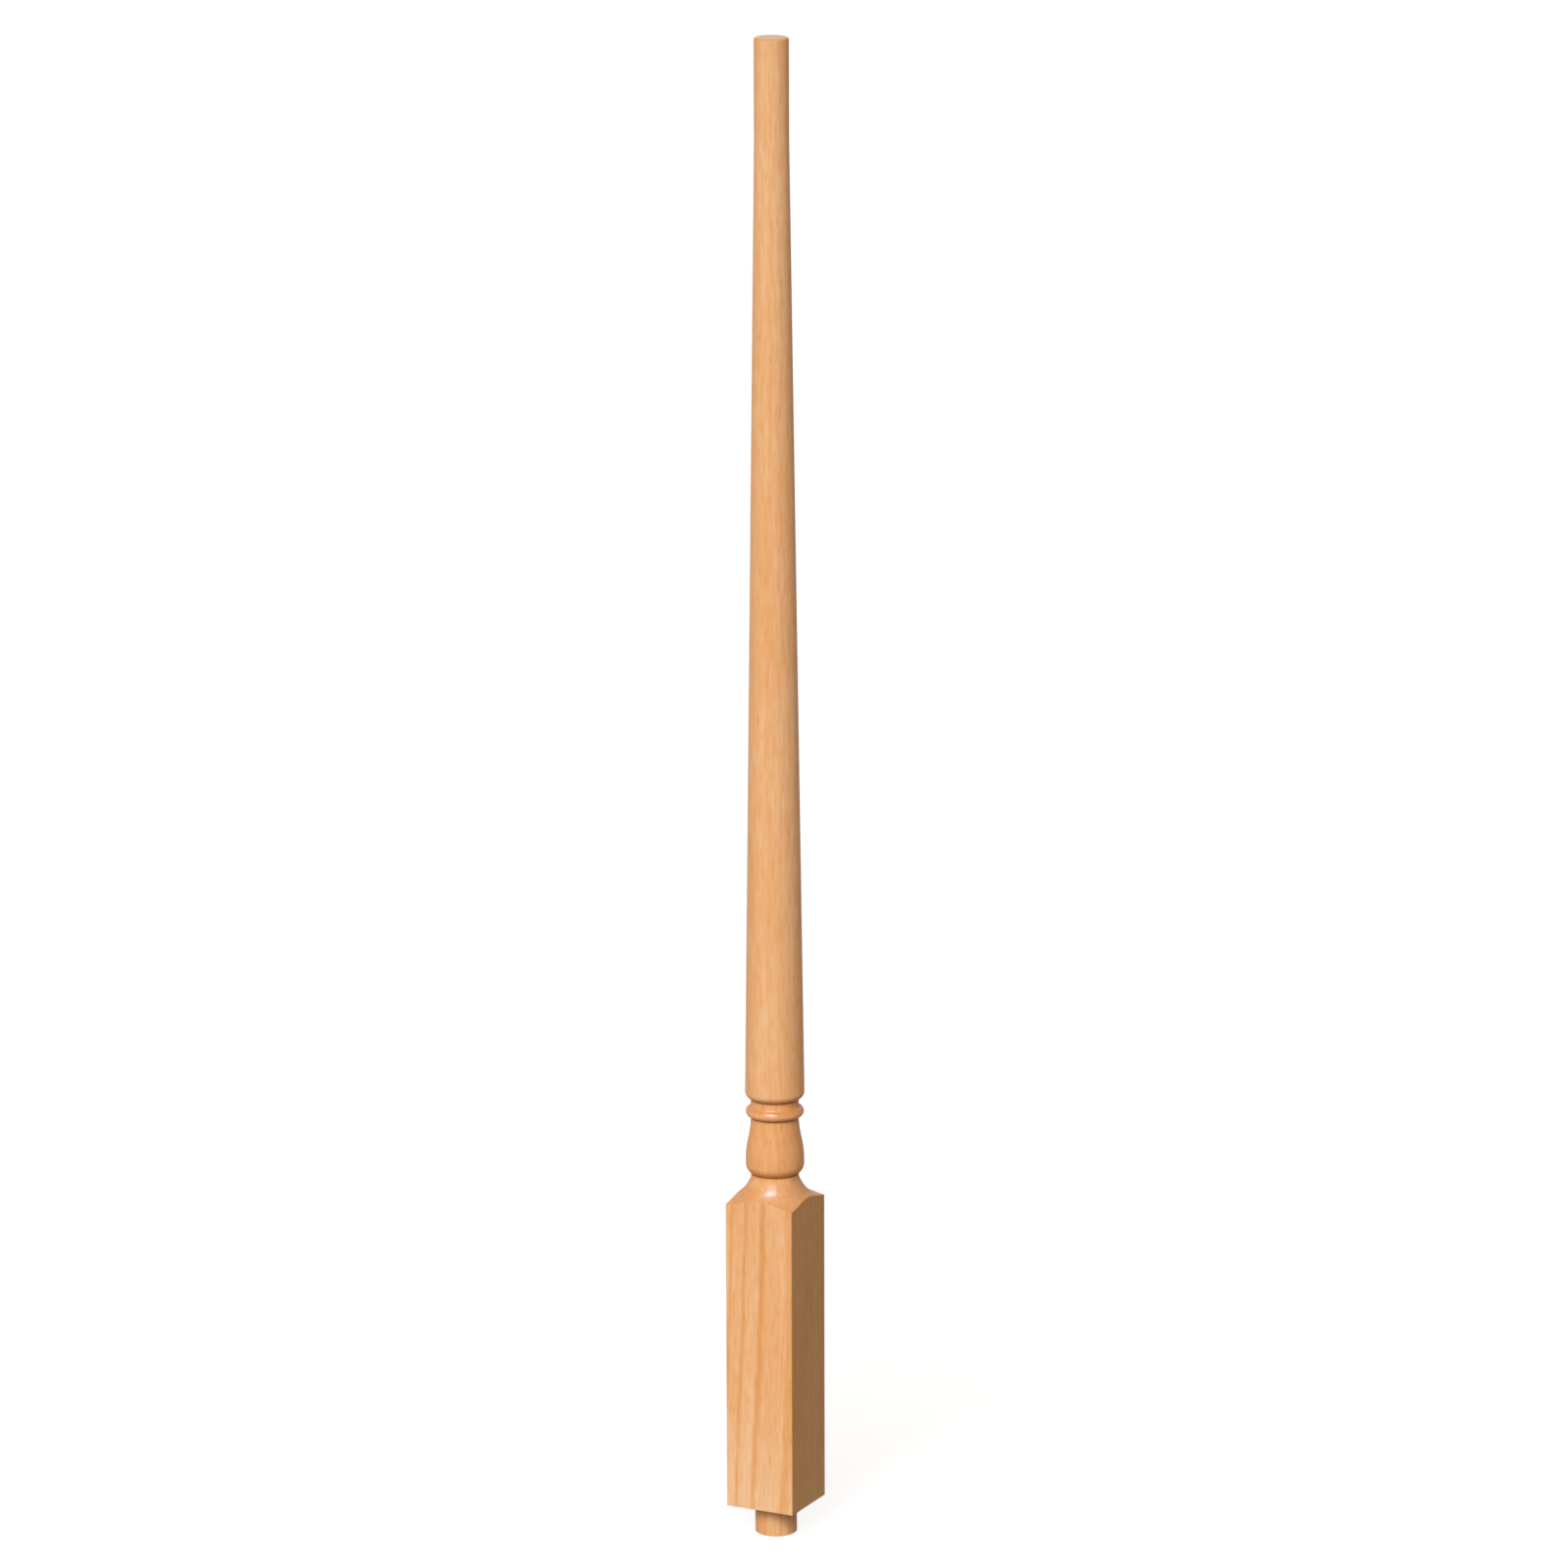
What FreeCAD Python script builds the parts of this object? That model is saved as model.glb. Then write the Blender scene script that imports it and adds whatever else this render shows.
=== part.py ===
import FreeCAD, Part
import math
import os

# A pin-top stair baluster, turned from one square length of hardwood.
# The origin is at the middle of the block's foot, where it stands on the tread.
# +Z runs up the axis, and X and Y are square to the faces of the block.
# Sizes are in millimetres and slopes in degrees.

# The square blank
SECTION = 44.45             # face to face of the square block
ARRIS_RADIUS = 0.6          # eased long corners of the block
OVERALL_LENGTH = 914.4      # end of the foot dowel to the end of the rail pin

# The foot: a dowel that drops into the tread, and the square block above it
DOWEL_DIAMETER = 25.4
DOWEL_LENGTH = 19.05
DOWEL_CHAMFER = 0.3
BLOCK_HEIGHT = 190.5        # foot of the block to the four points of its shoulder

# The shoulder: a cove turned into the square, from its four points up to the neck
SHOULDER_HEIGHT = 14.25     # the points to the neck
POINT_SLOPE = 17.0          # fall of the cove towards the points, from level
FLANK_SLOPE = 61.0          # steep flank under the neck, from level
COVE_RADIUS = 20.0          # sweep that joins the two slopes
NECK_SWEEP_RADIUS = 6.0     # sweep from the flank up into the neck
NECK_DIAMETER = 28.9        # floor of all three grooves

# The vase: a rounded foot, a plain belly band and a long ogee
LOWER_NECK_HEIGHT = 3.25
VASE_DIAMETER = 35.2
VASE_FOOT_HEIGHT = 5.8
VASE_BELLY_HEIGHT = 2.5
VASE_OGEE_HEIGHT = 26.9

# The ring bead
BEAD_DIAMETER = 35.0
BEAD_HEIGHT = 6.1
BEAD_SWEEP_RADIUS = 2.0     # sweep from the bead up into the neck over it

# The long taper, rounded under at its foot
UPPER_NECK_HEIGHT = 5.0
SHAFT_DIAMETER = 35.7
SHAFT_FOOT_HEIGHT = 4.4

# The pin that goes up into the rail
PIN_DIAMETER = 20.64
PIN_LENGTH = 60.0
PIN_CHAMFER = 0.8


def at(radius, height):
    """A point of the turned outline, in the XZ plane."""
    return FreeCAD.Vector(radius, 0, height)


def straight_run(*points):
    """Straight edges through the points, in order."""
    edges = []
    for start, end in zip(points, points[1:]):
        edges.append(Part.LineSegment(start, end).toShape())
    return edges


def arc_along(start, direction, end):
    """An arc that leaves start along direction and reaches end."""
    chord = end - start
    along = FreeCAD.Vector(direction).normalize()
    across = chord - along * chord.dot(along)
    radius = chord.Length ** 2 / (2 * across.Length)
    centre = start + across.normalize() * radius
    middle = centre + ((start + end) / 2 - centre).normalize() * radius
    return Part.Arc(start, middle, end).toShape()


def rounded_run(corners, radii):
    """Straight edges through the corners in order, with an arc of the given radius at each inner one."""
    edges = []
    start = corners[0]
    for before, corner, after, radius in zip(corners, corners[1:], corners[2:], radii):
        back = (before - corner).normalize()
        ahead = (after - corner).normalize()
        setback = radius / math.tan(back.getAngle(ahead) / 2)
        leave = corner + back * setback
        join = corner + ahead * setback
        edges += straight_run(start, leave)
        edges.append(arc_along(leave, back * -1, join))
        start = join
    return edges + straight_run(start, corners[-1])


def shoulder(points, neck, neck_end):
    """The cove in section: an easy slope in from the points, a sweep, a steep flank, and the neck."""
    easy = math.tan(math.radians(POINT_SLOPE))
    steep = math.tan(math.radians(FLANK_SLOPE))
    width = points.x - neck.x
    reach = (neck.z - points.z - width * easy) / (steep - easy)
    bend = at(neck.x + reach, neck.z - reach * steep)
    return rounded_run([points, bend, neck, neck_end], [COVE_RADIUS, NECK_SWEEP_RADIUS])


def bead_and_neck(foot, crest, top, neck_end):
    """The ring bead in section, with a sweep from its top into the neck over it."""
    ring = Part.Arc(foot, crest, top).toShape().Curve
    sweep_x = top.x + BEAD_SWEEP_RADIUS
    between = ring.Radius + BEAD_SWEEP_RADIUS
    rise = math.sqrt(between ** 2 - (sweep_x - ring.Center.x) ** 2)
    sweep_centre = at(sweep_x, ring.Center.z + rise)
    leave = ring.Center + (sweep_centre - ring.Center).normalize() * ring.Radius
    join = at(top.x, sweep_centre.z)
    edges = [Part.Arc(foot, crest, leave).toShape()]
    edges.append(arc_along(join, FreeCAD.Vector(0, 0, -1), leave))
    return edges + straight_run(join, neck_end)


def turned_outline():
    """The lathe's outline, up one side of the axis; the block's stretch stays wider than the blank."""
    dowel = DOWEL_DIAMETER / 2
    neck = NECK_DIAMETER / 2
    vase = VASE_DIAMETER / 2
    shaft = SHAFT_DIAMETER / 2
    pin = PIN_DIAMETER / 2
    corner = SECTION / math.sqrt(2)
    clear = SECTION

    neck_foot = BLOCK_HEIGHT + SHOULDER_HEIGHT
    vase_foot = neck_foot + LOWER_NECK_HEIGHT
    belly_foot = vase_foot + VASE_FOOT_HEIGHT
    belly_top = belly_foot + VASE_BELLY_HEIGHT
    bead_foot = belly_top + VASE_OGEE_HEIGHT
    bead_top = bead_foot + BEAD_HEIGHT
    shaft_foot = bead_top + UPPER_NECK_HEIGHT
    shaft_widest = shaft_foot + SHAFT_FOOT_HEIGHT
    pin_end = OVERALL_LENGTH - DOWEL_LENGTH
    pin_foot = pin_end - PIN_LENGTH

    up = FreeCAD.Vector(0, 0, 1)
    down = FreeCAD.Vector(0, 0, -1)
    ogee_middle = at((neck + vase) / 2, (belly_top + bead_foot) / 2)
    bead_middle = at(BEAD_DIAMETER / 2, (bead_foot + bead_top) / 2)
    taper_foot = at(shaft, shaft_widest)
    taper_top = at(pin, pin_foot)

    edges = straight_run(
        at(0, -DOWEL_LENGTH),
        at(dowel - DOWEL_CHAMFER, -DOWEL_LENGTH),
        at(dowel, DOWEL_CHAMFER - DOWEL_LENGTH),
        at(dowel, 0),
        at(clear, 0),
        at(clear, BLOCK_HEIGHT),
        at(corner, BLOCK_HEIGHT),
    )
    edges += shoulder(at(corner, BLOCK_HEIGHT), at(neck, neck_foot), at(neck, vase_foot))
    edges.append(arc_along(at(vase, belly_foot), down, at(neck, vase_foot)))
    edges += straight_run(at(vase, belly_foot), at(vase, belly_top))
    edges.append(arc_along(at(vase, belly_top), up, ogee_middle))
    edges.append(arc_along(at(neck, bead_foot), down, ogee_middle))
    edges += bead_and_neck(at(neck, bead_foot), bead_middle, at(neck, bead_top), at(neck, shaft_foot))
    edges.append(arc_along(taper_foot, taper_foot - taper_top, at(neck, shaft_foot)))
    edges += straight_run(
        taper_foot,
        taper_top,
        at(pin, pin_end - PIN_CHAMFER),
        at(pin - PIN_CHAMFER, pin_end),
        at(0, pin_end),
        at(0, -DOWEL_LENGTH),
    )
    return Part.Wire(Part.__sortEdges__(edges))


def square_blank():
    """The square length that is turned, with its four long corners eased."""
    half = SECTION / 2
    foot_corner = FreeCAD.Vector(-half, -half, -DOWEL_LENGTH)
    blank = Part.makeBox(SECTION, SECTION, OVERALL_LENGTH, foot_corner)
    long_edges = [edge for edge in blank.Edges if edge.firstVertex().Z != edge.lastVertex().Z]
    return blank.makeFillet(ARRIS_RADIUS, long_edges)


def baluster():
    """What the lathe leaves of the blank: round where the outline is inside it, square at the block."""
    origin = FreeCAD.Vector(0, 0, 0)
    up = FreeCAD.Vector(0, 0, 1)
    turned = Part.Face(turned_outline()).revolve(origin, up, 360)
    return square_blank().common(turned)


os.makedirs("parts", exist_ok=True)
solid = baluster().Solids[0]
solid.exportStep("parts/baluster.step")
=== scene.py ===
import cmath
import math

import bpy
from mathutils import Matrix


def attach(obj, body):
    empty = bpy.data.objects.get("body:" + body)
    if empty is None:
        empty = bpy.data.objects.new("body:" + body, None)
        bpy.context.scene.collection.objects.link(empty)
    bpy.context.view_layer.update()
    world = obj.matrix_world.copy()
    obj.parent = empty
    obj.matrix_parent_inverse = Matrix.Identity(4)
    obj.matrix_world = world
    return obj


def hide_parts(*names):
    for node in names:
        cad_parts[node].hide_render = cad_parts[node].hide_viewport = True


# A pin-top stair baluster, turned from one square length of beech and clear lacquered.
# It stands on the end of its foot dowel, and the foot of its block is at height zero.
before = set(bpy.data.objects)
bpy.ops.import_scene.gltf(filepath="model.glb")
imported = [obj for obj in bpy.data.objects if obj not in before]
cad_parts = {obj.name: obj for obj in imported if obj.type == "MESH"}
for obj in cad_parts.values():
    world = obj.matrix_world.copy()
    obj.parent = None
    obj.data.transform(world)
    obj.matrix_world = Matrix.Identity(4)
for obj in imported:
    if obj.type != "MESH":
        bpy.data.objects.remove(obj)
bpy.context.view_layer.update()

MM = 0.001

# Sizes of the square block and the dowel under it, in millimetres
SECTION = 44.45
ARRIS_RADIUS = 0.6
FOOT_EDGE = 0.25            # sanded edge round the foot of the block
DOWEL_RADIUS = 12.7
DOWEL_LENGTH = 19.05
DOWEL_CHAMFER = 0.3

# Sizes of the turned shoulder in millimetres, and its slopes in degrees from level
POINT_HEIGHT = 190.5        # the four points where the shoulder meets the corners
POINT_SLOPE = 17.0
COVE_RADIUS = 20.0          # sweep between the two slopes
FLANK_SLOPE = 61.0
NECK_SWEEP_RADIUS = 6.0     # sweep from the flank up into the neck
NECK_FOOT = 204.75
NECK_RADIUS = 14.45         # floor of all three grooves
ARCH_EDGE = 0.35            # sanded edge where the shoulder meets the four faces

# Heights and radii of the turning above the shoulder, in millimetres
VASE_FOOT = 208.0
BELLY_FOOT = 213.8
BELLY_TOP = 216.3
VASE_RADIUS = 17.6
BEAD_FOOT = 243.2
BEAD_RADIUS = 3.05          # half-round ring
BEAD_SWEEP_RADIUS = 2.0     # sweep from the bead up into the neck over it
SHAFT_FOOT = 254.3
SHAFT_WIDEST = 258.7
SHAFT_RADIUS = 17.85
PIN_FOOT = 835.35
PIN_END = 895.35
PIN_RADIUS = 10.32
PIN_CHAMFER = 0.8

# How finely the mesh follows them
FACE_STEPS = 44             # across each face of the block
ARRIS_STEPS = 4             # round each long corner
WALL_STEPS = 10             # up the block
SHOULDER_STEPS = 30         # from the faces in to the flank
SHAFT_STEPS = 48            # up the long taper
END_SHARES = (0.3, 0.65)    # rings across the sawn ends, as shares of their radius
SHARP_ANGLE = 28.0          # degrees, above which an edge stays crisp

GROOVE_SHADE_REACH = 1.0          # millimetres that painted shade reaches from the corner of a groove


def colour(code):
    """An sRGB hex colour as the linear one that shaders take."""
    parts = [int(code[i:i + 2], 16) / 255 for i in (1, 3, 5)]
    return [c / 12.92 if c <= 0.04045 else ((c + 0.055) / 1.055) ** 2.4 for c in parts] + [1.0]


# A Mix node's sockets for colours
MIX_A = 6
MIX_B = 7
MIX_RESULT = 2


def node(tree, kind, inputs=(), **settings):
    """Adds a shader node. Each input is a value or an output of another node."""
    made = tree.nodes.new("ShaderNode" + kind)
    for name, value in settings.items():
        setattr(made, name, value)
    for socket, value in dict(inputs).items():
        if isinstance(value, bpy.types.NodeSocket):
            tree.links.new(value, made.inputs[socket])
        else:
            made.inputs[socket].default_value = value
    return made


# The section of the turning, drawn in the plane as radius + i height

UP = 1j


def line_to(section, end, steps=1):
    """Carries the section on along a straight."""
    start = section[-1]
    section += [start + (end - start) * i / steps for i in range(1, steps + 1)]


def arc_to(section, end, steps, leaving=None, arriving=None):
    """Carries the section on along an arc, with its direction given at one of its ends."""
    start = section[-1]
    chord = end - start
    turn = 2 * cmath.phase(chord / leaving if leaving else arriving / chord)
    arm = chord / (cmath.exp(1j * turn) - 1)
    section += [start - arm + arm * cmath.exp(1j * turn * i / steps) for i in range(1, steps + 1)]


def shoulder_sweep():
    """Both ends of the sweep between the shoulder's slopes."""
    easy = cmath.rect(1, math.radians(180 - POINT_SLOPE))
    steep = cmath.rect(1, math.radians(180 - FLANK_SLOPE))
    points = complex(SECTION / math.sqrt(2), POINT_HEIGHT)
    across = (complex(NECK_RADIUS, NECK_FOOT) - points).conjugate() * steep
    bend = points + easy * across.imag / (easy.conjugate() * steep).imag
    setback = COVE_RADIUS * math.tan(math.radians(FLANK_SLOPE - POINT_SLOPE) / 2)
    return bend - easy * setback, bend + steep * setback


def shoulder_height(radius):
    """Height of the shoulder at a radius outside its flank."""
    slope = math.radians(POINT_SLOPE)
    outer = shoulder_sweep()[0]
    centre = outer + COVE_RADIUS * cmath.rect(1, math.radians(90) - slope)
    if radius >= outer.real:
        return outer.imag - (radius - outer.real) * math.tan(slope)
    return centre.imag - math.sqrt(COVE_RADIUS ** 2 - (radius - centre.real) ** 2)


def turned_section():
    """The section from the shoulder's flank up to the end of the pin."""
    flank = shoulder_sweep()[1]
    neck_foot = complex(NECK_RADIUS, NECK_FOOT)
    neck_setback = NECK_SWEEP_RADIUS * math.tan(math.radians(90 - FLANK_SLOPE) / 2)
    flank_way = (neck_foot - flank) / abs(neck_foot - flank)
    belly_top = complex(VASE_RADIUS, BELLY_TOP)
    bead_foot = complex(NECK_RADIUS, BEAD_FOOT)
    bead_centre = bead_foot + BEAD_RADIUS * UP
    sweep_rise = math.sqrt((BEAD_RADIUS + BEAD_SWEEP_RADIUS) ** 2 - BEAD_SWEEP_RADIUS ** 2)
    to_sweep = complex(BEAD_SWEEP_RADIUS, sweep_rise)
    shaft_widest = complex(SHAFT_RADIUS, SHAFT_WIDEST)
    pin_foot = complex(PIN_RADIUS, PIN_FOOT)
    section = [flank]
    line_to(section, neck_foot - flank_way * neck_setback, steps=8)
    arc_to(section, neck_foot + UP * neck_setback, steps=10, leaving=flank_way)
    line_to(section, complex(NECK_RADIUS, VASE_FOOT), steps=3)
    arc_to(section, complex(VASE_RADIUS, BELLY_FOOT), steps=14, arriving=UP)
    line_to(section, belly_top, steps=2)
    arc_to(section, (belly_top + bead_foot) / 2, steps=16, leaving=UP)
    arc_to(section, bead_foot, steps=16, arriving=UP)
    arc_to(section, bead_centre + BEAD_RADIUS, steps=12, arriving=UP)
    arc_to(section, bead_centre + BEAD_RADIUS * to_sweep / abs(to_sweep), steps=9, leaving=UP)
    arc_to(section, bead_centre + sweep_rise * UP, steps=8, arriving=UP)
    line_to(section, complex(NECK_RADIUS, SHAFT_FOOT), steps=4)
    arc_to(section, shaft_widest, steps=14, arriving=pin_foot - shaft_widest)
    line_to(section, pin_foot, steps=SHAFT_STEPS)
    line_to(section, complex(PIN_RADIUS, PIN_END - PIN_CHAMFER), steps=6)
    line_to(section, complex(PIN_RADIUS - PIN_CHAMFER, PIN_END))
    return section


def square_outline():
    """Points round the section of the block as x + iy, with its long corners eased."""
    half = SECTION / 2
    flat = half - ARRIS_RADIUS
    reach = math.atan(flat / half)
    points = []
    for quarter in range(4):
        turn = 1j ** quarter
        for i in range(FACE_STEPS + 1):
            points.append(turn * complex(half, half * math.tan(reach * (2 * i / FACE_STEPS - 1))))
        for i in range(1, ARRIS_STEPS):
            ease = cmath.rect(ARRIS_RADIUS, math.pi / 2 * i / ARRIS_STEPS)
            points.append(turn * (complex(flat, flat) + ease))
    return points


def painted_groove_shade(radius, height):
    """How strong the painted shade is in the corners under the vase, the bead and the shaft, from 0 to
    1.
    """
    corners = [complex(NECK_RADIUS, foot) for foot in (VASE_FOOT, BEAD_FOOT, SHAFT_FOOT)]
    nearest = min(abs(complex(radius, height) - corner) for corner in corners)
    return max(0.0, 1 - nearest / GROOVE_SHADE_REACH)


def baluster_rings():
    """Closed rings of (x + iy, height), from the dowel's end to the pin's end.

    Gives the rings, and the numbers of those that sawn wood joins to the next one.
    """
    outline = square_outline()
    rings = []
    sawn = []

    def round_ring(radius, height):
        rings.append([(radius * p / abs(p), height) for p in outline])

    def block_ring(inset, height):
        rings.append([(p * (1 - inset / abs(p)), height) for p in outline])

    # Dowel
    for share in (*END_SHARES, 1.0):
        round_ring(share * (DOWEL_RADIUS - DOWEL_CHAMFER), -DOWEL_LENGTH)
    sawn += range(len(rings) - 1)
    round_ring(DOWEL_RADIUS, DOWEL_CHAMFER - DOWEL_LENGTH)
    for share in (0.67, 0.33, 0.0):
        round_ring(DOWEL_RADIUS, -DOWEL_LENGTH * share)
    # Foot of the block, and its sanded edge
    sawn += range(len(rings) - 1, len(rings) + 1)
    rings.append([((p * (1 - FOOT_EDGE / abs(p)) + DOWEL_RADIUS * p / abs(p)) / 2, 0.0)
                  for p in outline])
    for angle in (0, 30, 60, 90):
        lift = math.radians(angle)
        block_ring(FOOT_EDGE * (1 - math.sin(lift)), FOOT_EDGE * (1 - math.cos(lift)))
    # Faces of the block, up to the arches that the shoulder cuts in them
    arch = [shoulder_height(abs(p)) for p in outline]
    for i in range(1, WALL_STEPS + 1):
        rings.append([(p, FOOT_EDGE + (top - ARCH_EDGE - FOOT_EDGE) * i / WALL_STEPS)
                      for p, top in zip(outline, arch)])
    # Sanded edge of the arches
    for share in (0.25, 0.5, 0.75, 1.0):
        ring = []
        for p, top in zip(outline, arch):
            inset = ARCH_EDGE * share ** 2
            below = ARCH_EDGE * (1 - share) ** 2
            rise = (shoulder_height(abs(p) - ARCH_EDGE) - top) * share ** 2
            ring.append((p * (1 - inset / abs(p)), top - below + rise))
        rings.append(ring)
    # Shoulder, in to the flank
    section = turned_section()
    flank = section[0].real
    for i in range(1, SHOULDER_STEPS + 1):
        ring = []
        for p in outline:
            start = abs(p) - ARCH_EDGE
            radius = start + (flank - start) * i / SHOULDER_STEPS
            ring.append((p / abs(p) * radius, shoulder_height(radius)))
        rings.append(ring)
    # Turning, and the end of the pin
    for step in section[1:]:
        round_ring(step.real, step.imag)
    sawn += range(len(rings) - 1, len(rings) + 1)
    for share in reversed(END_SHARES):
        round_ring(share * (PIN_RADIUS - PIN_CHAMFER), PIN_END)
    return rings, sawn


def turned_baluster(lacquered, raw_end):
    """The whole baluster as one closed mesh."""
    rings, sawn = baluster_rings()
    count = len(rings[0])
    points = [(p.real * MM, p.imag * MM, height * MM) for ring in rings for p, height in ring]
    faces = []
    kinds = []
    for i in range(len(rings) - 1):
        low = i * count
        for k in range(count):
            after = (k + 1) % count
            faces.append((low + k, low + after, low + count + after, low + count + k))
            kinds.append(1 if i in sawn else 0)
    for tip, first, turn in ((-DOWEL_LENGTH, 0, -1), (PIN_END, (len(rings) - 1) * count, 1)):
        points.append((0.0, 0.0, tip * MM))
        for k in range(count):
            pair = (first + k, first + (k + 1) % count)
            faces.append((len(points) - 1, *pair[::turn]))
            kinds.append(1)
    mesh = bpy.data.meshes.new("turned_baluster")
    mesh.from_pydata(points, [], faces)
    mesh.materials.append(lacquered)
    mesh.materials.append(raw_end)
    mesh.polygons.foreach_set("material_index", kinds)
    mesh.shade_smooth()
    mesh.set_sharp_from_angle(angle=math.radians(SHARP_ANGLE))
    # Painted shade in the corners of the grooves under the overhangs
    shade_in_grooves = mesh.attributes.new("painted_groove_shade", "FLOAT", "POINT")
    shade_depths = [painted_groove_shade(math.hypot(x, y) / MM, z / MM) for x, y, z in points]
    shade_in_grooves.data.foreach_set("value", shade_depths)
    piece = bpy.data.objects.new("turned_baluster", mesh)
    bpy.context.scene.collection.objects.link(piece)
    normals = piece.modifiers.new("even_shading", "WEIGHTED_NORMAL")
    normals.keep_sharp = True
    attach(piece, "root")
    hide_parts("baluster")


# The board that the blank was sawn from
PITH = (48.0, 105.0)        # heart of the tree from the axis of the baluster, in millimetres
GRAIN_LEAN = 1.5            # slope of the grain against the axis, in degrees
RING_WIDTH = 5.0            # one year's growth of beech, in millimetres
RING_START = 8.1            # millimetres that the rings are shifted
RING_SWAY = 6.0             # millimetres from side to side that they wander
RING_FEATHER = 1.1          # millimetres that their edges feather along the fibres
FIGURE_FADE = (200.0, 215.0)    # heights between which the rings grow faint, in millimetres
PALE_FOOT = 95.0            # height below which the wood grows paler, in millimetres
FOOT_TONE = -0.53           # depth of tone that the patterns add to, at the foot of the block
UPPER_TONE = -0.33          # and above the pale foot

# Sizes of the patterns in the wood, in millimetres along X, Y and Z; the grain runs along Z
FIBRE_SIZE = (1.5, 1.5, 30.0)
WAVE_SIZE = (40.0, 40.0, 260.0)
CLOUD_SIZE = (20.0, 20.0, 110.0)
STREAK_SIZE = (2.0, 2.0, 14.0)
FLECK_SPACING = (2.4, 2.4, 13.0)
SAW_MARK_SIZE = (1.2, 30.0, 30.0)


def beech_grain(tree):
    """Adds the grain of beech.

    Gives the place in millimetres, the years of growth there, and the fibres.
    """
    metres = node(tree, "TexCoord").outputs["Object"]
    place = node(tree, "VectorMath", {0: metres, "Scale": 1 / MM}, operation="SCALE").outputs[0]
    # Single fibres are too fine to show, so they are drawn as bundles
    fibre_place = node(tree, "VectorMath", {0: place, 1: FIBRE_SIZE}, operation="DIVIDE")
    fibres = node(tree, "TexNoise", {"Vector": fibre_place.outputs[0], "Scale": 1.0, "Detail": 2.0})
    # The rings wander a few millimetres over a hand's length
    wave_place = node(tree, "VectorMath", {0: place, 1: WAVE_SIZE}, operation="DIVIDE")
    waves = node(tree, "TexNoise", {"Vector": wave_place.outputs[0], "Scale": 1.0, "Detail": 0.0})
    sway = node(tree, "VectorMath", {0: waves.outputs["Color"], 1: (0.5, 0.5, 0.5)},
                operation="SUBTRACT")
    bent = node(tree, "VectorMath", {0: sway.outputs[0], 1: (RING_SWAY, RING_SWAY, 0.0), 2: place},
                operation="MULTIPLY_ADD")
    heart = node(tree, "Mapping", {"Vector": bent.outputs[0], "Location": (-PITH[0], -PITH[1], 0.0),
                                   "Rotation": (0.0, math.radians(-GRAIN_LEAN), 0.0)})
    flat = node(tree, "VectorMath", {0: heart.outputs[0], 1: (1.0, 1.0, 0.0)}, operation="MULTIPLY")
    from_heart = node(tree, "VectorMath", {0: flat.outputs[0]}, operation="LENGTH").outputs["Value"]
    # Edges of the rings feather along the fibres
    feathered = node(tree, "Math", {0: fibres.outputs["Fac"], 1: RING_FEATHER, 2: from_heart},
                     operation="MULTIPLY_ADD")
    shifted = node(tree, "Math", {0: feathered.outputs[0], 1: RING_START}, operation="SUBTRACT")
    years = node(tree, "Math", {0: shifted.outputs[0], 1: RING_WIDTH}, operation="DIVIDE")
    return place, years.outputs[0], fibres.outputs["Fac"]


def new_material(name):
    """An empty material and its node tree."""
    material = bpy.data.materials.new(name)
    material.use_nodes = True
    material.node_tree.nodes.clear()
    return material, material.node_tree


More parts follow.
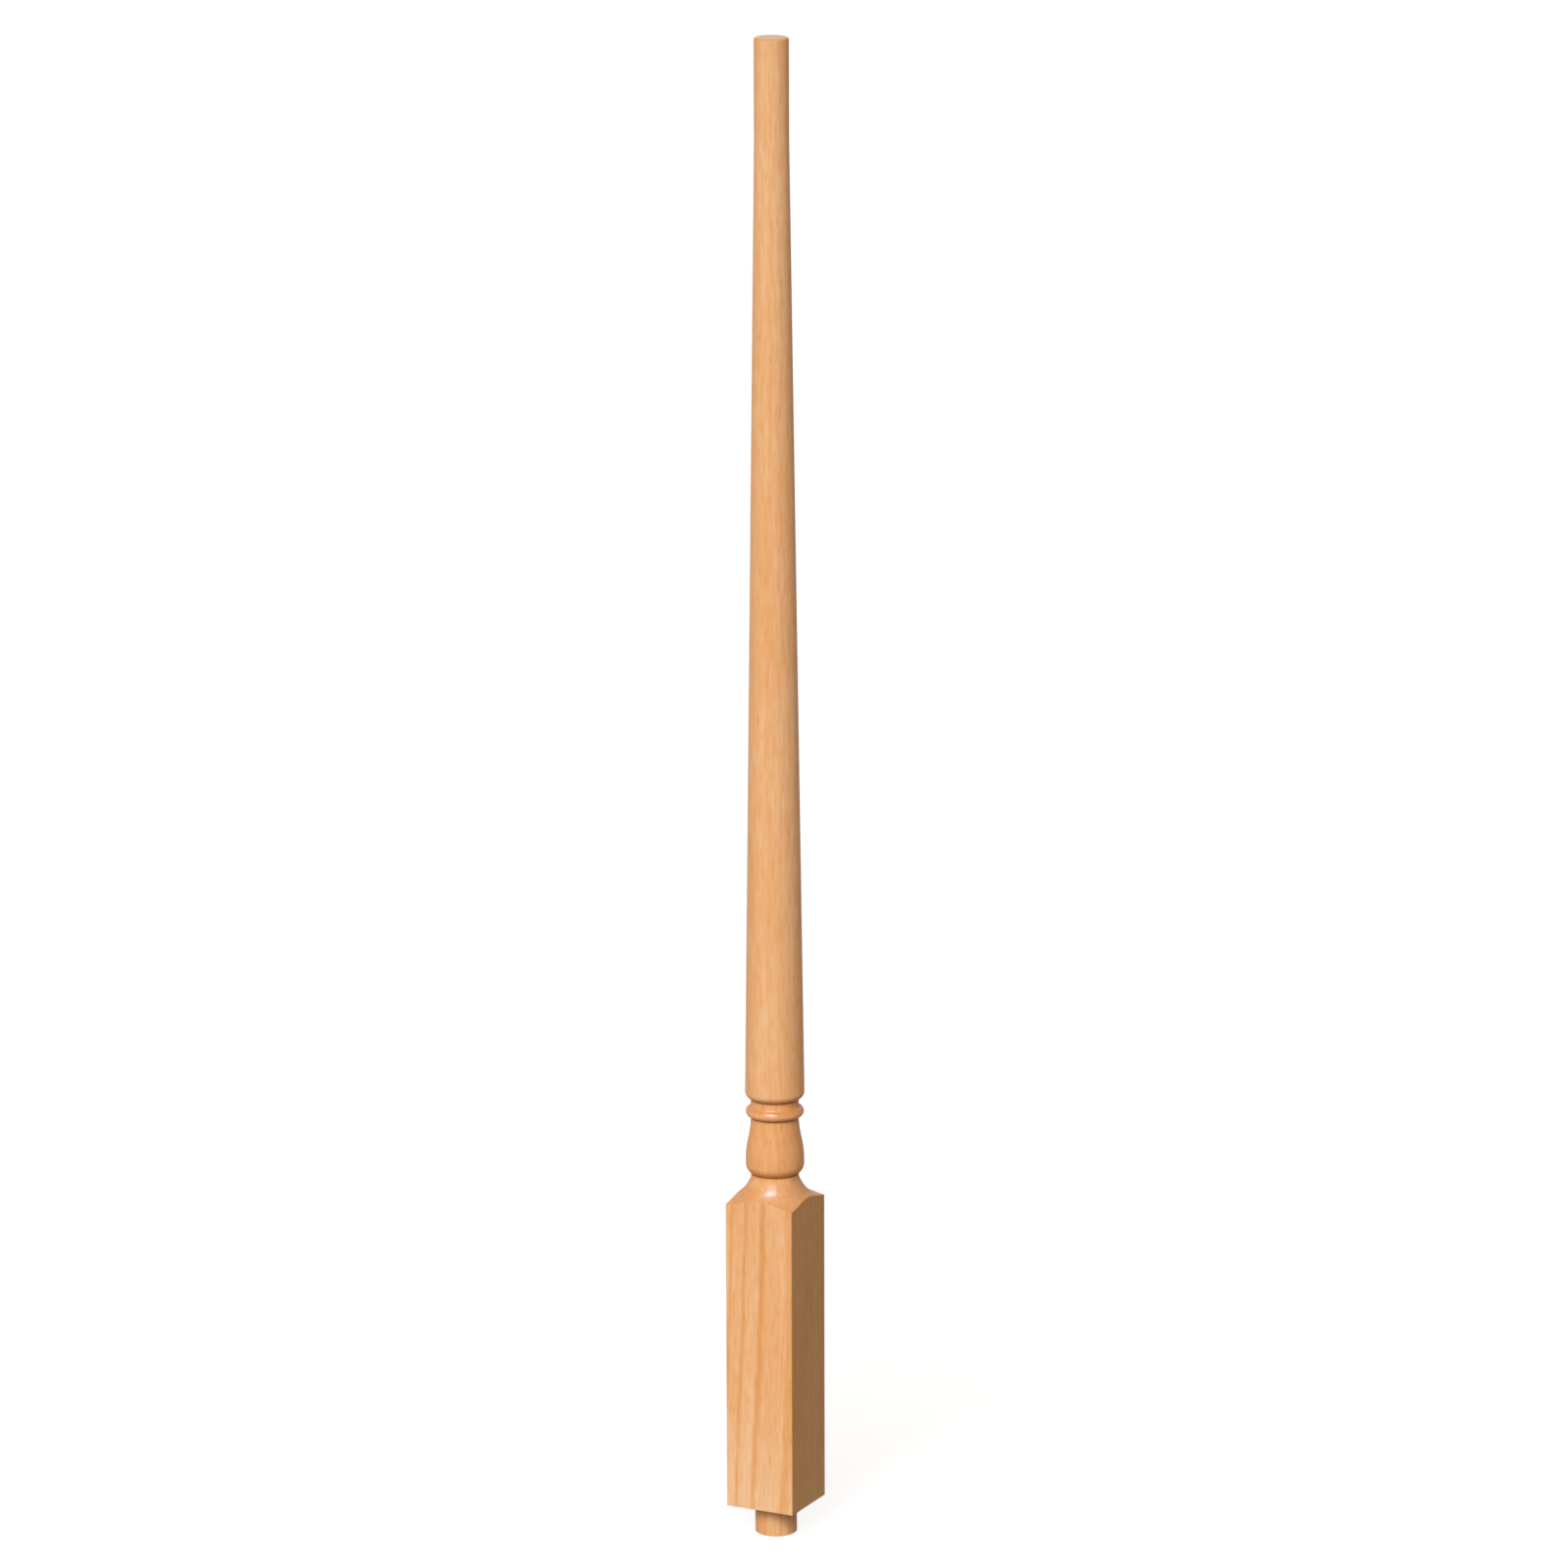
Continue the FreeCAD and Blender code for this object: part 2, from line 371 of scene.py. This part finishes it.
def lacquered_beech():
    """Steamed beech, turned, sanded and sprayed with clear satin lacquer.

    The lacquer warms the wood to an even orange tan with soft white highlights. The year rings are
    narrow soft bands a shade darker, and short fine flecks lie along the grain everywhere.
    """
    material, tree = new_material("lacquered_beech")
    place, years, fibres = beech_grain(tree)
    axes = node(tree, "SeparateXYZ", {0: place})
    height = axes.outputs["Z"]
    # Two faces of the block are cut along the tree's radius, from the eased corners on; this mask also
    # carries painted shade on them
    aside = node(tree, "Math", {0: axes.outputs["X"]}, operation="ABSOLUTE").outputs[0]
    radial_grain_and_shade = node(tree, "MapRange", {"Value": aside, "From Min": SECTION / 2 - ARRIS_RADIUS,
                                     "From Max": SECTION / 2 - 0.1}).outputs[0]
    # Slopes cut across the fibres and show end grain
    facing = node(tree, "TexCoord").outputs["Normal"]
    tilt = node(tree, "SeparateXYZ", {0: facing}).outputs["Z"]
    slope = node(tree, "Math", {0: tilt}, operation="ABSOLUTE").outputs[0]
    end_grain = node(tree, "MapRange", {"Value": slope, "From Min": 0.1, "From Max": 0.6}).outputs[0]
    # Late growth of each year is darker, and some years more than others
    in_year = node(tree, "Math", {0: years}, operation="FRACT").outputs[0]
    year = node(tree, "Math", {0: years}, operation="FLOOR").outputs[0]
    vigour = node(tree, "TexWhiteNoise", {"W": year}, noise_dimensions="1D").outputs["Value"]
    strength = node(tree, "MapRange", {"Value": vigour, "To Min": 0.45, "To Max": 1.0}).outputs[0]
    late = node(tree, "ValToRGB", {"Fac": in_year})
    stops = late.color_ramp.elements
    stops[0].position, stops[0].color = 0.1, (0.0, 0.0, 0.0, 1.0)
    stops[1].position, stops[1].color = 1.0, (0.0, 0.0, 0.0, 1.0)
    for position, level in ((0.64, 0.1), (0.78, 1.0), (0.88, 0.95)):
        stops.new(position).color = (level, level, level, 1.0)
    # The rings are faint in the turning, fainter on the radial faces and hidden in end grain
    fade_from, fade_to = FIGURE_FADE
    figure = node(tree, "MapRange", {"Value": height, "From Min": fade_from, "From Max": fade_to,
                                     "To Min": 1.0, "To Max": 0.25}).outputs[0]
    side = node(tree, "MapRange", {"Value": radial_grain_and_shade, "To Min": 1.0, "To Max": 0.6}).outputs[0]
    long_grain = node(tree, "MapRange", {"Value": end_grain, "To Min": 1.0, "To Max": 0.0}).outputs[0]
    ring = late.outputs["Color"]
    for share in (strength, figure, side, long_grain):
        ring = node(tree, "Math", {0: ring, 1: share}, operation="MULTIPLY").outputs[0]
    # Clouds of paler and redder wood, about a finger wide and a hand long
    cloud_place = node(tree, "VectorMath", {0: place, 1: CLOUD_SIZE}, operation="DIVIDE")
    cloud = node(tree, "TexNoise", {"Vector": cloud_place.outputs[0], "Scale": 1.0, "Detail": 1.0})
    # Streaks between the rings
    streak_place = node(tree, "VectorMath", {0: place, 1: STREAK_SIZE}, operation="DIVIDE")
    streaks = node(tree, "TexNoise", {"Vector": streak_place.outputs[0], "Scale": 1.0, "Detail": 2.0})
    # Flecks are 0.3 mm wide and 3 mm long, and are drawn at about twice that, as finer ones don't show
    fleck_place = node(tree, "VectorMath", {0: place, 1: FLECK_SPACING}, operation="DIVIDE")
    cells = node(tree, "TexVoronoi", {"Vector": fleck_place.outputs[0], "Scale": 1.0})
    spindles = node(tree, "MapRange", {"Value": cells.outputs["Distance"],
                                       "From Min": 0.3, "From Max": 0.12})
    depth = node(tree, "SeparateColor", {0: cells.outputs["Color"]}).outputs[0]
    flecks = node(tree, "Math", {0: spindles.outputs[0], 1: depth}, operation="MULTIPLY").outputs[0]
    # The vase and the bead are a little deeper in tone, and the dowel under the block is darkened as
    # painted shade
    over_cove = node(tree, "MapRange", {"Value": height,
                                        "From Min": NECK_FOOT, "From Max": VASE_FOOT})
    under_shaft = node(tree, "MapRange", {"Value": height,
                                          "From Min": SHAFT_WIDEST, "From Max": SHAFT_FOOT})
    between = node(tree, "Math", {0: over_cove.outputs[0], 1: under_shaft.outputs[0]},
                   operation="MINIMUM")
    # Painted shade on the dowel under the block
    dowel_shade = node(tree, "MapRange", {"Value": height,
                                          "From Min": 0.0, "From Max": -0.1, "To Max": 0.5})
    deeper_turnings_and_dowel_shade = node(tree, "Math", {0: between.outputs[0], 1: dowel_shade.outputs[0]},
                          operation="MAXIMUM").outputs[0]
    # One depth of tone, from the palest early growth to the darkest fleck
    tone = node(tree, "MapRange", {"Value": height, "From Max": PALE_FOOT,
                                   "To Min": FOOT_TONE, "To Max": UPPER_TONE}).outputs[0]
    for pattern, share in ((deeper_turnings_and_dowel_shade, 0.22), (ring, 0.5), (cloud.outputs["Fac"], 0.5),
                           (streaks.outputs["Fac"], 0.67), (fibres, 0.15), (flecks, 0.3)):
        tone = node(tree, "Math", {0: pattern, 1: share, 2: tone},
                    operation="MULTIPLY_ADD").outputs[0]
    wood = node(tree, "ValToRGB", {"Fac": tone})
    shades = wood.color_ramp.elements
    shades[0].position, shades[0].color = 0.0, colour("#F0C89D")
    shades[1].position, shades[1].color = 1.0, colour("#DB9553")
    shades.new(0.45).color = colour("#E8AF78")
    # End grain soaks up lacquer and darkens, and the radial faces are darkened with painted shade
    stained_and_shaded = wood.outputs["Color"]
    for darker_part, darker_tint in ((end_grain, "#ECE0D2"), (radial_grain_and_shade, "#DDD5B4")):
        stained_and_shaded = node(tree, "Mix", {"Factor": darker_part, MIX_A: stained_and_shaded, MIX_B: colour(darker_tint)},
                       data_type="RGBA", blend_type="MULTIPLY").outputs[MIX_RESULT]
    # Painted shade: the corners of the grooves under the vase, the bead and the shaft are darkened to
    # brown
    shade_in_grooves = node(tree, "Attribute", attribute_name="painted_groove_shade").outputs["Fac"]
    with_groove_shade = node(tree, "Mix", {"Factor": shade_in_grooves, MIX_A: stained_and_shaded, MIX_B: colour("#8A5228")},
                 data_type="RGBA").outputs[MIX_RESULT]
    satin = node(tree, "MapRange", {"Value": fibres, "To Min": 0.45, "To Max": 0.65}).outputs[0]
    # The spray builds up a glossier coat on the ring bead
    bead = node(tree, "Math", {0: height, 1: BEAD_FOOT + BEAD_RADIUS, 2: BEAD_RADIUS},
                operation="COMPARE")
    gloss = node(tree, "MapRange", {"Value": bead.outputs[0], "To Min": 0.2, "To Max": 0.4}).outputs[0]
    bump = node(tree, "Bump", {"Height": flecks, "Strength": 0.15, "Distance": 0.1 * MM},
                invert=True)
    surface = node(tree, "BsdfPrincipled", {
        "Base Color": with_groove_shade, "Roughness": satin, "IOR": 1.5, "Specular IOR Level": 0.05,
        "Coat Weight": gloss, "Coat Roughness": 0.24, "Coat IOR": 1.5, "Normal": bump.outputs[0]})
    node(tree, "OutputMaterial", {"Surface": surface.outputs[0]})
    return material


def sawn_beech_end():
    """Beech sawn across and sealed with thin lacquer, hidden in the tread and the rail.

    It is paler than the long grain and shows the year rings as fine arcs. At a low angle it mirrors
    the room.
    """
    material, tree = new_material("sawn_beech_end")
    place, years, _ = beech_grain(tree)
    in_year = node(tree, "Math", {0: years}, operation="FRACT").outputs[0]
    late = node(tree, "ValToRGB", {"Fac": in_year})
    stops = late.color_ramp.elements
    stops[0].position, stops[0].color = 0.2, colour("#E0C1A4")
    stops[1].position, stops[1].color = 1.0, colour("#E0C1A4")
    stops.new(0.8).color = colour("#CCA782")
    # Saw marks run straight across, a little over a millimetre apart
    saw_place = node(tree, "VectorMath", {0: place, 1: SAW_MARK_SIZE}, operation="DIVIDE")
    saw = node(tree, "TexNoise", {"Vector": saw_place.outputs[0], "Scale": 1.0, "Detail": 1.0})
    bump = node(tree, "Bump", {"Height": saw.outputs["Fac"], "Strength": 0.3, "Distance": 0.2 * MM})
    surface = node(tree, "BsdfPrincipled", {
        "Base Color": late.outputs["Color"], "Roughness": 0.8, "IOR": 1.5, "Specular IOR Level": 0.1,
        "Coat Weight": 0.2, "Coat Roughness": 0.3, "Coat IOR": 1.5, "Normal": bump.outputs[0]})
    node(tree, "OutputMaterial", {"Surface": surface.outputs[0]})
    return material


# The studio

FLOOR_REACH = 40.0          # metres from the baluster to the floor's edge
FLOOR_GLOW = 0.89           # share of the floor's white that a shadow can't take away
FLOOR_BOUNCE = 0.08         # strength of the light that comes up from the floor
ROOM_LIGHT = 0.28           # strength of the even light that falls from all round


def white_rays(tree):
    """Adds the rays that see a white background: the camera's, and those that gloss or glass turn."""
    path = node(tree, "LightPath")
    straight = path.outputs["Is Camera Ray"]
    turned = node(tree, "Math", {0: path.outputs["Is Glossy Ray"],
                                 1: path.outputs["Is Transmission Ray"]}, operation="MAXIMUM")
    return node(tree, "Math", {0: straight, 1: turned.outputs[0]}, operation="MAXIMUM").outputs[0]


def studio_glow(tree, felt, seen):
    """Adds the colour and strength of a glow that looks white and lights things a little warm."""
    rays = white_rays(tree)
    tint = node(tree, "Mix", {"Factor": rays, MIX_A: colour("#FFD6A8"), MIX_B: colour("#FFFFFF")},
                data_type="RGBA")
    strength = node(tree, "MapRange", {"Value": rays, "To Min": felt, "To Max": seen})
    return {"Color": tint.outputs[MIX_RESULT], "Strength": strength.outputs[0]}


def studio_floor():
    """A pale floor at the dowel's end, white to the camera with a soft shadow on it."""
    bottom = -DOWEL_LENGTH * MM
    corners = [(x * FLOOR_REACH, y * FLOOR_REACH, bottom)
               for x, y in ((-1, -1), (1, -1), (1, 1), (-1, 1))]
    mesh = bpy.data.meshes.new("studio_floor")
    mesh.from_pydata(corners, [], [(0, 1, 2, 3)])
    material, tree = new_material("pale_matt_floor")
    # The glow gives most of the white, and the matt grey takes the shadow
    glow = node(tree, "Emission", studio_glow(tree, felt=FLOOR_BOUNCE, seen=FLOOR_GLOW))
    matt = node(tree, "BsdfDiffuse", {"Color": colour("#707070")})
    both = node(tree, "AddShader", {0: glow.outputs[0], 1: matt.outputs[0]})
    node(tree, "OutputMaterial", {"Surface": both.outputs[0]})
    mesh.materials.append(material)
    floor = bpy.data.objects.new("studio_floor", mesh)
    bpy.context.scene.collection.objects.link(floor)


def soft_light(name, azimuth, elevation, spread, strength):
    """A lamp far away. Its azimuth from the block's front face, elevation and spread are in degrees."""
    lamp = bpy.data.lights.new(name, "SUN")
    lamp.energy = strength
    lamp.angle = math.radians(spread)
    light = bpy.data.objects.new(name, lamp)
    light.matrix_world = (
        Matrix.Rotation(math.radians(azimuth), 4, "Z")
        @ Matrix.Rotation(math.radians(90 - elevation), 4, "X"))
    bpy.context.scene.collection.objects.link(light)
    return light


def studio_lamps():
    """A high key lamp from the front, a faint fill from the left, a low lamp behind, and a strip."""
    key = soft_light("key_light", azimuth=11, elevation=36, spread=30, strength=2.9)
    soft_light("left_fill", azimuth=-70, elevation=12, spread=60, strength=0.36)
    back = soft_light("back_light", azimuth=207, elevation=6, spread=40, strength=1.6)
    # The lacquer mirrors neither of the two strong lamps
    key.visible_glossy = False
    back.visible_glossy = False
    # Three lamps in a row are one long cool strip, seen only as highlights in the lacquer
    for azimuth in (-13, 4, 21):
        strip = soft_light("strip_light", azimuth, elevation=51, spread=16, strength=4.2)
        strip.data.color = colour("#CFE2FF")[:3]
        strip.visible_diffuse = False


def room_light():
    """Even light from all round."""
    world = bpy.data.worlds.new("studio_room")
    world.use_nodes = True
    tree = world.node_tree
    tree.nodes.clear()
    glow = node(tree, "Background", studio_glow(tree, felt=ROOM_LIGHT, seen=1.0))
    node(tree, "OutputWorld", {"Surface": glow.outputs[0]})
    bpy.context.scene.world = world


# The camera, with its place in metres and its turns in degrees
CAMERA_DISTANCE = 4.7295    # level distance from the axis
CAMERA_HEIGHT = 1.6256
CAMERA_AZIMUTH = 26.76      # round from square on to the front face
CAMERA_PITCH = 13.98        # down from level
CAMERA_TURN = 0.074         # to its own right
CAMERA_ROLL = 0.175         # clockwise
CAMERA_LENS = 188.3         # focal length, in millimetres
CAMERA_SENSOR = 36.0        # width, in millimetres


def main_camera():
    """The camera of the main view."""
    data = bpy.data.cameras.new("main_camera")
    data.lens = CAMERA_LENS
    data.sensor_width = CAMERA_SENSOR
    data.clip_end = 2 * FLOOR_REACH
    camera = bpy.data.objects.new("main_camera", data)
    camera.matrix_world = (
        Matrix.Rotation(math.radians(CAMERA_AZIMUTH), 4, "Z")
        @ Matrix.Translation((0.0, -CAMERA_DISTANCE, CAMERA_HEIGHT))
        @ Matrix.Rotation(math.radians(-CAMERA_TURN), 4, "Z")
        @ Matrix.Rotation(math.radians(90 - CAMERA_PITCH), 4, "X")
        @ Matrix.Rotation(math.radians(-CAMERA_ROLL), 4, "Z"))
    bpy.context.scene.collection.objects.link(camera)
    bpy.context.scene.camera = camera


turned_baluster(lacquered_beech(), sawn_beech_end())
studio_floor()
studio_lamps()
room_light()
main_camera()
bpy.context.scene.view_settings.view_transform = "Standard"
